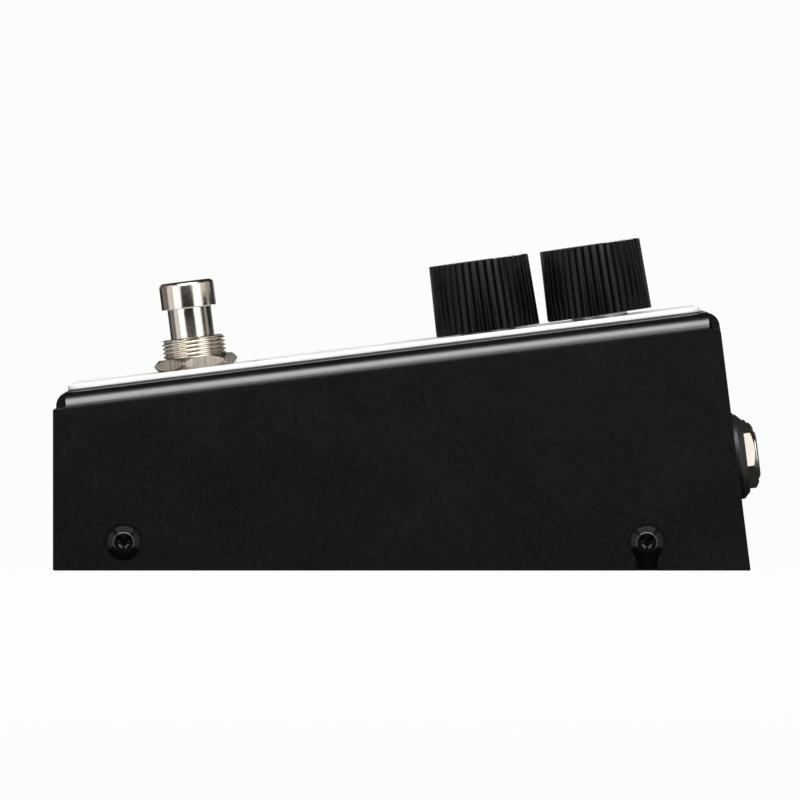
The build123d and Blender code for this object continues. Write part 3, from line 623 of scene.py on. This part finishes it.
# ---- case ----------------------------------------------------------------------------------
def build_cover():
    """The folded cover with its sheet edges slightly rounded."""
    shape = bmesh.new()
    shape.from_mesh(frame["nodes"]["top_cover"].data)
    bmesh.ops.remove_doubles(shape, verts=shape.verts, dist=5e-6)
    bmesh.ops.dissolve_limit(
        shape, angle_limit=math.radians(0.4), verts=shape.verts, edges=shape.edges
    )
    shape.verts.index_update()
    points = [tuple(vertex.co) for vertex in shape.verts]
    polygons = [[vertex.index for vertex in face.verts] for face in shape.faces]
    shape.free()
    mesh = bpy.data.meshes.new("cover_shell")
    mesh.from_pydata(points, [], polygons)
    draft = loose_object("cover_draft", mesh)
    bevel = draft.modifiers.new("edges", "BEVEL")
    bevel.width = EDGE_RADIUS * MM
    bevel.segments = 3
    bevel.limit_method = "ANGLE"
    bevel.angle_limit = math.radians(40)
    rounded_mesh = applied(draft)
    shade_by_area(rounded_mesh, math.radians(42))
    return add_object("cover_shell", rounded_mesh, "case", "powder_coat", ["top_cover"])


def shade_by_area(mesh, limit):
    """Smooth normals in which large flat faces keep their own direction up to their edges."""
    mesh.shade_smooth()
    around = [[] for vertex in mesh.vertices]
    for face in mesh.polygons:
        for vertex in face.vertices:
            around[vertex].append(face)
    normals = []
    for face in mesh.polygons:
        for vertex in face.vertices:
            total = face.normal * face.area
            for other in around[vertex]:
                if other.index != face.index and other.normal.angle(face.normal, math.pi) < limit:
                    total = total + other.normal * other.area
            normals.append(total.normalized())
    mesh.normals_split_custom_set(normals)


def screw_mesh():
    """Pan-head screw with a cross recess, in local millimetres."""
    shank_end = SCREW_HEAD_BASE - SCREW_SHANK_LENGTH
    outline = rounded(
        [
            (0, shank_end),
            (SCREW_SHANK_RADIUS, shank_end),
            (SCREW_SHANK_RADIUS, SCREW_HEAD_BASE),
            (SCREW_HEAD_RADIUS, SCREW_HEAD_BASE),
            (SCREW_HEAD_RADIUS, SCREW_HEAD_RIM),
            (SCREW_LAND_RADIUS, SCREW_HEAD_HEIGHT),
            (0, SCREW_HEAD_HEIGHT),
        ],
        {4: 0.6, 5: 0.5},
        steps=10,
    )
    vertices, faces = lathe(outline, steps=72)
    mesh = bpy.data.meshes.new("screw_head")
    mesh.from_pydata(vertices, [], faces)
    head = loose_object("screw_head", mesh)
    cutters = []
    for turn in (RECESS_TURN, RECESS_TURN + 90):
        cutters.append(recess_cutter(turn))
        cut = head.modifiers.new("recess", "BOOLEAN")
        cut.operation = "DIFFERENCE"
        cut.solver = "EXACT"
        cut.object = cutters[-1]
    result = applied(head)
    for cutter in cutters:
        bpy.data.objects.remove(cutter)
    return [tuple(v.co) for v in result.vertices], [list(p.vertices) for p in result.polygons]


def recess_cutter(turn):
    """Tapered blade that cuts one arm of a cross recess."""
    floor = SCREW_HEAD_HEIGHT - RECESS_DEPTH
    roof = SCREW_HEAD_HEIGHT + RECESS_OVERCUT
    rings = []
    for height, share in ((floor, 0.45), (floor + RECESS_POINT, 0.75), (roof, 1.1)):
        half_length = RECESS_HALF_LENGTH * share
        half_width = RECESS_HALF_WIDTH * (0.5 + share / 2)
        ring = []
        for x, y in ((-1, -1), (1, -1), (1, 1), (-1, 1)):
            spot = Vector((x * half_length, y * half_width, height))
            ring.append(tuple(Matrix.Rotation(math.radians(turn), 3, "Z") @ spot))
        rings.append(ring)
    vertices = [point for ring in rings for point in ring]
    faces = [[0, 3, 2, 1], [8, 9, 10, 11]]
    for level in (0, 4):
        for side in range(4):
            after = (side + 1) % 4
            faces.append([level + side, level + after, level + 4 + after, level + 4 + side])
    mesh = bpy.data.meshes.new("recess_cutter")
    mesh.from_pydata(vertices, [], faces)
    return loose_object("recess_cutter", mesh)


def build_screws():
    low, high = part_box("cover_screws")
    height = (low.z + high.z) / 2
    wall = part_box("top_cover")[1].x
    points, polygons = screw_mesh()
    vertices, faces = [], []
    for side in (-1, 1):
        for y in (low.y + SCREW_HEAD_RADIUS * MM, high.y - SCREW_HEAD_RADIUS * MM):
            where = on_side(side, Vector((side * wall, y, height)))
            start = len(vertices)
            vertices.extend(where @ Vector(point) for point in points)
            faces.extend([[start + index for index in polygon] for polygon in polygons])
    here = Matrix.Identity(4)
    piece("cover_screw_set", vertices, faces, here, "case", "screw_black", ["cover_screws"])


# ---- footswitch ------------------------------------------------------------------------------
def footswitch_place():
    """Local frame on the footswitch axis, at the face plate's upper surface."""
    return on_panel(centre("footswitch_nut") - OUTWARD * NUT_HEIGHT / 2 * MM)


def build_footswitch():
    where = footswitch_place()
    nut = hexagon_nut(NUT_FLATS, 0, NUT_HEIGHT, NUT_BORE, NUT_CROWN, NUT_SLOPE, NUT_TURN)
    piece(
        "switch_nut",
        *nut,
        where,
        "case",
        "nickel",
        ["footswitch_nut"],
        crease=20,
        finish="nickel_milled",
    )
    sleeve = threaded_sleeve(BUSHING_BOTTOM, BUSHING_TOP, BUSHING_BORE)
    piece("switch_bushing", *sleeve, where, "case", "nickel", ["footswitch_bushing"], crease=60)
    outline = rounded(
        [
            (0, PIN_BOTTOM),
            (PIN_RADIUS, PIN_BOTTOM),
            (PIN_RADIUS, COLLAR_BOTTOM),
            (COLLAR_RADIUS, COLLAR_BOTTOM),
            (COLLAR_RADIUS, COLLAR_TOP),
            (SHAFT_RADIUS, COLLAR_TOP),
            (SHAFT_RADIUS, CAP_BOTTOM),
            (CAP_RADIUS, CAP_BOTTOM),
            (CAP_RADIUS, CAP_TOP),
            (0, CAP_TOP),
        ],
        {3: 0.2, 4: 0.2, 6: 0.1, 7: 0.12, 8: CAP_ROUND},
        steps=8,
    )
    piece(
        "switch_button",
        *lathe(outline, steps=128),
        where,
        "footswitch_button",
        "nickel",
        ["footswitch_plunger"],
    )


def build_spring():
    """Wire coil under the plunger's collar."""
    low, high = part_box("footswitch_spring")
    middle = (low + high) / 2
    radius = SPRING_RADIUS + SPRING_WIRE
    length = ((high.z - low.z) / MM - 2 * radius * abs(OUTWARD.y)) / OUTWARD.z
    travel = (length - 2 * SPRING_WIRE) / 2
    total = int(SPRING_TURNS * SPRING_TURN_STEPS)
    vertices = []
    for step in range(total + 1):
        angle = 2 * math.pi * step / SPRING_TURN_STEPS
        height = -travel + 2 * travel * step / total
        radial = Vector((math.cos(angle), math.sin(angle), 0))
        for part in range(SPRING_RING_STEPS):
            around = 2 * math.pi * part / SPRING_RING_STEPS
            offset = radial * math.cos(around) + Vector((0, 0, 1)) * math.sin(around)
            spot = radial * SPRING_RADIUS + Vector((0, 0, height)) + offset * SPRING_WIRE
            vertices.append(tuple(spot))
    faces = []
    for step in range(total):
        for part in range(SPRING_RING_STEPS):
            after = (part + 1) % SPRING_RING_STEPS
            corner = step * SPRING_RING_STEPS
            above = corner + SPRING_RING_STEPS
            faces.append([corner + part, corner + after, above + after, above + part])
    faces.append(list(range(SPRING_RING_STEPS)))
    faces.append(list(range(total * SPRING_RING_STEPS, (total + 1) * SPRING_RING_STEPS)))
    coil = piece(
        "switch_spring", vertices, faces, on_panel(middle), "case", "steel", ["footswitch_spring"]
    )
    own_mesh(coil)


# ---- control knobs ---------------------------------------------------------------------------
def ribbed_ring(radius, depth, height, phase):
    """Ring of points with a narrow groove between rounded ribs."""
    points = []
    count = RIB_COUNT * RIB_POINTS
    for step in range(count):
        angle = 2 * math.pi * step / count
        share = step % RIB_POINTS / RIB_POINTS
        reach = radius - depth * abs(math.cos(math.pi * share)) ** RIB_SHARPNESS
        turned = angle + math.radians(phase)
        points.append((reach * math.cos(turned), reach * math.sin(turned), height))
    return points


def build_knob(number, phase, lean):
    axis_point = Vector(joints[f"knob_{number}_turn"]["pos_m"])
    where = on_panel(axis_point) @ Matrix.Rotation(math.radians(lean), 4, "X")
    foot, crown = reach(f"knob_{number}", axis_point, OUTWARD)
    crown -= KNOB_TOP_RADIUS * math.sin(math.radians(lean))
    bore_top, recess_top = crown - KNOB_CROWN, foot + KNOB_RECESS_DEPTH
    count = RIB_COUNT * RIB_POINTS
    rings = [
        ribbed_ring(KNOB_BOTTOM_RADIUS - KNOB_FOOT_EDGE, RIB_DEPTH - KNOB_FOOT_EDGE, foot, phase),
        ribbed_ring(KNOB_BOTTOM_RADIUS, RIB_DEPTH, foot + KNOB_FOOT_EDGE, phase),
        ribbed_ring(KNOB_TOP_RADIUS, RIB_DEPTH, crown - KNOB_EDGE, phase),
        ribbed_ring(KNOB_TOP_RADIUS - KNOB_EDGE / 2, RIB_DEPTH, crown - KNOB_EDGE / 4, phase),
        ribbed_ring(KNOB_TOP_RADIUS - KNOB_EDGE, RIB_DEPTH - KNOB_EDGE / 2, crown, phase),
        circle_points(KNOB_TOP_RADIUS - KNOB_FACE_EDGE, crown, count),
        circle_points(NEAR_AXIS, crown, count),
        circle_points(NEAR_AXIS, bore_top, count),
        circle_points(KNOB_BORE, bore_top, count),
        circle_points(KNOB_BORE, recess_top, count),
        circle_points(KNOB_RECESS, recess_top, count),
        circle_points(KNOB_RECESS, foot, count),
    ]
    body = f"control_{number}"
    skirt, knob = f"knob_skirt_{number}", f"knob_{number}"
    piece(skirt, *stack(rings), where, body, "knob_black", [knob], crease=40)
    top = crown + POINTER_PROUD
    bottom = crown - POINTER_PROUD
    outline = rounded(
        [
            (-POINTER_HALF_WIDTH, POINTER_START),
            (POINTER_HALF_WIDTH, POINTER_START),
            (POINTER_HALF_WIDTH, POINTER_END),
            (-POINTER_HALF_WIDTH, POINTER_END),
        ],
        {corner: POINTER_ROUND for corner in range(4)},
        steps=4,
    )
    lower = [(x, y, bottom) for x, y in outline]
    upper = [(x, y, top) for x, y in outline]
    vertices, faces = stack([lower, upper])
    faces = faces[: len(outline)]
    faces.append(list(range(len(outline))))
    faces.append(list(range(len(outline), 2 * len(outline))))
    line_name, pointer = f"pointer_line_{number}", f"knob_pointer_{number}"
    piece(line_name, vertices, faces, where, body, "pointer_white", [pointer])


# ---- rear sockets ------------------------------------------------------------------------------
def jack_place(name):
    mount = mounts[name]
    return on_rear(Vector(mount["pos_m"]) + Vector(mount["axis"]) * JACK_MOUNT_DEPTH * MM)


def joined(shapes):
    """One list of vertices and faces from several placed shapes."""
    vertices, faces = [], []
    for (points, polygons), where in shapes:
        start = len(vertices)
        vertices.extend(where @ Vector(point) for point in points)
        faces.extend([[start + index for index in polygon] for polygon in polygons])
    return vertices, faces


def build_jacks():
    places = [jack_place(name) for name in ("input_jack", "output_jack")]
    washer = lathe(
        rounded(
            [
                (JACK_WASHER_BORE, JACK_WASHER_BASE),
                (JACK_WASHER_RADIUS, JACK_WASHER_BASE),
                (JACK_WASHER_RADIUS, JACK_WASHER_RIM),
                (JACK_WASHER_LAND, JACK_WASHER_TOP),
                (JACK_WASHER_BORE, JACK_WASHER_TOP),
            ],
            {2: 0.3, 3: 0.25},
        ),
        steps=128,
    )
    washers = joined([(washer, where) for where in places])
    piece("jack_washer_pair", *washers, Matrix.Identity(4), "case", "moulded_black", ["jack_washers"])
    nut = hexagon_nut(
        JACK_NUT_FLATS,
        JACK_WASHER_TOP,
        JACK_NUT_TOP,
        JACK_NUT_BORE,
        JACK_NUT_CROWN,
        JACK_NUT_SLOPE,
        JACK_NUT_TURN,
        both_ends=False,
    )
    nuts = joined([(nut, where) for where in places])
    piece("jack_nut_pair", *nuts, Matrix.Identity(4), "case", "nickel", ["jack_nuts"], crease=20)
    for name, where in zip(("input", "output"), places):
        bore = mounts[f"{name}_jack"]["dims"]["r_mm"]
        outline = rounded(
            [
                (bore, JACK_SLEEVE_BOTTOM),
                (JACK_SLEEVE_RADIUS, JACK_SLEEVE_BOTTOM),
                (JACK_SLEEVE_RADIUS, JACK_SLEEVE_SHOULDER),
                (JACK_SLEEVE_LAND, JACK_SLEEVE_TOP),
                (bore + BUSHING_MOUTH, JACK_SLEEVE_TOP),
                (bore, JACK_SLEEVE_TOP - BUSHING_MOUTH),
            ],
            {2: 0.25},
        )
        node = f"{name}_jack_bushing"
        piece(f"{name}_jack_sleeve", *lathe(outline), where, "case", "nickel", [node], crease=25)


def build_power_jack():
    mount = mounts["power_jack"]
    where = on_rear(Vector(mount["pos_m"]) + Vector(mount["axis"]) * POWER_MOUNT_DEPTH * MM)
    outline = rounded(
        [
            (POWER_SOCKET_RADIUS, POWER_SOCKET_FLOOR),
            (POWER_SOCKET_RADIUS, POWER_FLANGE_TOP - POWER_SOCKET_MOUTH),
            (POWER_SOCKET_RADIUS + POWER_SOCKET_MOUTH, POWER_FLANGE_TOP),
            (POWER_FLANGE_RADIUS, POWER_FLANGE_TOP),
            (POWER_FLANGE_RADIUS, POWER_FLANGE_BASE),
            (POWER_BODY_RADIUS, POWER_FLANGE_BASE),
            (POWER_BODY_RADIUS, POWER_BODY_END),
            (POWER_PIN_SHANK, POWER_BODY_END),
            (POWER_PIN_SHANK, POWER_SOCKET_FLOOR),
        ],
        {3: 0.45},
    )
    socket = lathe(outline)
    piece("power_socket", *socket, where, "case", "moulded_black", ["power_jack_body"])
    outline = rounded(
        [
            (0, POWER_PIN_END),
            (POWER_PIN_SHANK, POWER_PIN_END),
            (POWER_PIN_SHANK, POWER_SOCKET_FLOOR),
            (POWER_PIN_RADIUS, POWER_SOCKET_FLOOR),
            (POWER_PIN_RADIUS, POWER_PIN_TOP),
            (0, POWER_PIN_TOP),
        ],
        {4: 0.5},
    )
    pin = lathe(outline, steps=48)
    piece("power_pin", *pin, where, "case", "nickel", ["power_jack_pin"])


def build_light():
    """Domed lens in a turned bezel."""
    low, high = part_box("led_bezel")
    half_height = (BEZEL_DEPTH + BEZEL_TOP) / 2
    where = on_panel((low + high) / 2 - OUTWARD * (half_height - BEZEL_DEPTH) * MM)
    outline = rounded(
        [
            (BEZEL_BORE, -BEZEL_DEPTH),
            (BEZEL_RADIUS, -BEZEL_DEPTH),
            (BEZEL_RADIUS, BEZEL_FLANGE_BASE),
            (BEZEL_FLANGE_RADIUS, BEZEL_FLANGE_BASE),
            (BEZEL_FLANGE_RADIUS, BEZEL_TOP),
            (BEZEL_BORE, BEZEL_TOP),
        ],
        {4: 0.35, 5: 0.15},
    )
    bezel = lathe(outline)
    piece("light_bezel", *bezel, where, "case", "nickel", ["led_bezel"])
    outline = rounded(
        [
            (0, LENS_BOTTOM),
            (LENS_COLLAR_RADIUS, LENS_BOTTOM),
            (LENS_COLLAR_RADIUS, LENS_COLLAR_TOP),
            (LENS_RADIUS, LENS_COLLAR_TOP),
            (LENS_RADIUS, LENS_TOP),
            (0, LENS_TOP),
        ],
        {4: LENS_DOME},
        steps=12,
    )
    lens = lathe(outline)
    piece("light_lens", *lens, where, "case", "led_red", ["led_lens"], crease=50)


# ---- everything on the frame -----------------------------------------------------------------------
def dress_remaining_nodes():
    """Procedural material on every CAD node that stays in view."""
    for name, node in frame["nodes"].items():
        node.data.materials.clear()
        node.data.materials.append(finishes[slot_of[name]])


# ---- studio ------------------------------------------------------------------------------------------
CAMERA_LENS, CAMERA_SENSOR = 947.1, 36.0
CAMERA_DISTANCE, CAMERA_ELEVATION = 3.95, 0.5
CAMERA_TARGET_SHIFT = Vector((0, -0.00034, 0.03209))
BACKDROP = (0.9647, 0.9823, 0.9560)
LIGHT_DISTANCE = 1.2
WARM, COOL = (1.0, 0.95, 0.88), (0.98, 0.99, 1.0)
FLOOR_HALF, FLOOR_GLOW = 3.0, 0.99
REFLECTED_WORLD = 0.03


def direction(azimuth, elevation):
    """Unit vector; azimuth turns from +X towards +Y."""
    level = math.cos(math.radians(elevation))
    return Vector(
        (
            level * math.cos(math.radians(azimuth)),
            level * math.sin(math.radians(azimuth)),
            math.sin(math.radians(elevation)),
        )
    )


def softbox(name, azimuth, elevation, across, upright, radiance, tint=(1, 1, 1)):
    """Rectangular light facing the object; across and upright are the angles it covers."""
    light = bpy.data.lights.new(name, "AREA")
    light.shape = "RECTANGLE"
    light.size = 2 * LIGHT_DISTANCE * math.tan(math.radians(across / 2))
    light.size_y = 2 * LIGHT_DISTANCE * math.tan(math.radians(upright / 2))
    light.energy = radiance * math.pi * light.size * light.size_y
    light.color = tint
    lamp = bpy.data.objects.new(name, light)
    bpy.context.scene.collection.objects.link(lamp)
    towards = direction(azimuth, elevation)
    lamp.location = centre("top_cover") + towards * LIGHT_DISTANCE
    lamp.rotation_euler = (-towards).to_track_quat("-Z", "Y").to_euler()


def add_lights():
    softbox("key_core", 0, 52, 60, 26, 4.3)
    softbox("key_middle", 0, 51, 66, 44, 1.4)
    softbox("key_skirt", 0, 48, 72, 60, 1.1)
    softbox("key_veil", 0, 40, 74, 64, 0.25)
    softbox("side_front", -47.5, 4, 33, 50, 2.0, COOL)
    softbox("side_rear", 40, 4, 34, 50, 2.0, COOL)
    softbox("card_front", -80, 10, 26, 60, 0.9, COOL)
    softbox("card_front_back", -114, 10, 32, 60, 0.2, WARM)
    softbox("card_rear", 88, 10, 60, 60, 0.42, WARM)
    softbox("card_rear_near", 72, 10, 28, 60, 0.4, WARM)
    softbox("back_low", 180, 8, 70, 14, 0.3)


def add_floor():
    mesh = bpy.data.meshes.new("floor")
    signs = ((-1, -1), (1, -1), (1, 1), (-1, 1))
    corners = [(FLOOR_HALF * x, FLOOR_HALF * y, 0) for x, y in signs]
    mesh.from_pydata(corners, [], [[0, 1, 2, 3]])
    floor = loose_object("floor", mesh)
    material = bpy.data.materials.new("floor_paper")
    material.use_nodes = True
    tree = material.node_tree
    shader = tree.nodes["Principled BSDF"]
    shader.inputs["Base Color"].default_value = (0.012, 0.012, 0.012, 1)
    shader.inputs["Roughness"].default_value = 1.0
    shader.inputs["Specular IOR Level"].default_value = 0.0
    shader.inputs["Emission Color"].default_value = (*BACKDROP, 1)
    shader.inputs["Emission Strength"].default_value = FLOOR_GLOW
    mesh.materials.append(material)
    floor.visible_glossy = False
    floor.visible_diffuse = False


def add_world():
    """Bright to the camera, dim to reflections, so that the black case stays black."""
    world = bpy.data.worlds.new("studio")
    bpy.context.scene.world = world
    world.use_nodes = True
    tree = world.node_tree
    output = tree.nodes["World Output"]
    seen = tree.nodes["Background"]
    seen.inputs["Color"].default_value = (*BACKDROP, 1)
    dim = tree.nodes.new("ShaderNodeBackground")
    dim.inputs["Color"].default_value = (REFLECTED_WORLD, REFLECTED_WORLD, REFLECTED_WORLD, 1)
    rays = tree.nodes.new("ShaderNodeLightPath")
    mixed = tree.nodes.new("ShaderNodeMixShader")
    tree.links.new(rays.outputs["Is Camera Ray"], mixed.inputs["Fac"])
    tree.links.new(dim.outputs["Background"], mixed.inputs[1])
    tree.links.new(seen.outputs["Background"], mixed.inputs[2])
    tree.links.new(mixed.outputs["Shader"], output.inputs["Surface"])


def add_camera():
    data = bpy.data.cameras.new("camera")
    data.lens = CAMERA_LENS
    data.sensor_width = CAMERA_SENSOR
    data.clip_start = 0.1
    data.clip_end = 50
    camera = bpy.data.objects.new("camera", data)
    bpy.context.scene.collection.objects.link(camera)
    side_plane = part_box("top_cover")[1].x
    target = CAMERA_TARGET_SHIFT + RIGHT * side_plane
    towards = direction(0, CAMERA_ELEVATION)
    camera.location = target + towards * CAMERA_DISTANCE
    camera.rotation_euler = (-towards).to_track_quat("-Z", "Y").to_euler()
    bpy.context.scene.camera = camera
    bpy.context.scene.view_settings.view_transform = "Standard"


dress_remaining_nodes()
build_cover()
build_screws()
build_footswitch()
build_spring()
for knob_number in (1, 2):
    build_knob(knob_number, FRONT_RIB_PHASE, FRONT_KNOBS_LEAN)
for knob_number in (3, 4):
    build_knob(knob_number, REAR_RIB_PHASE, REAR_KNOBS_LEAN)
build_jacks()
build_power_jack()
build_light()
add_floor()
add_world()
add_lights()
add_camera()
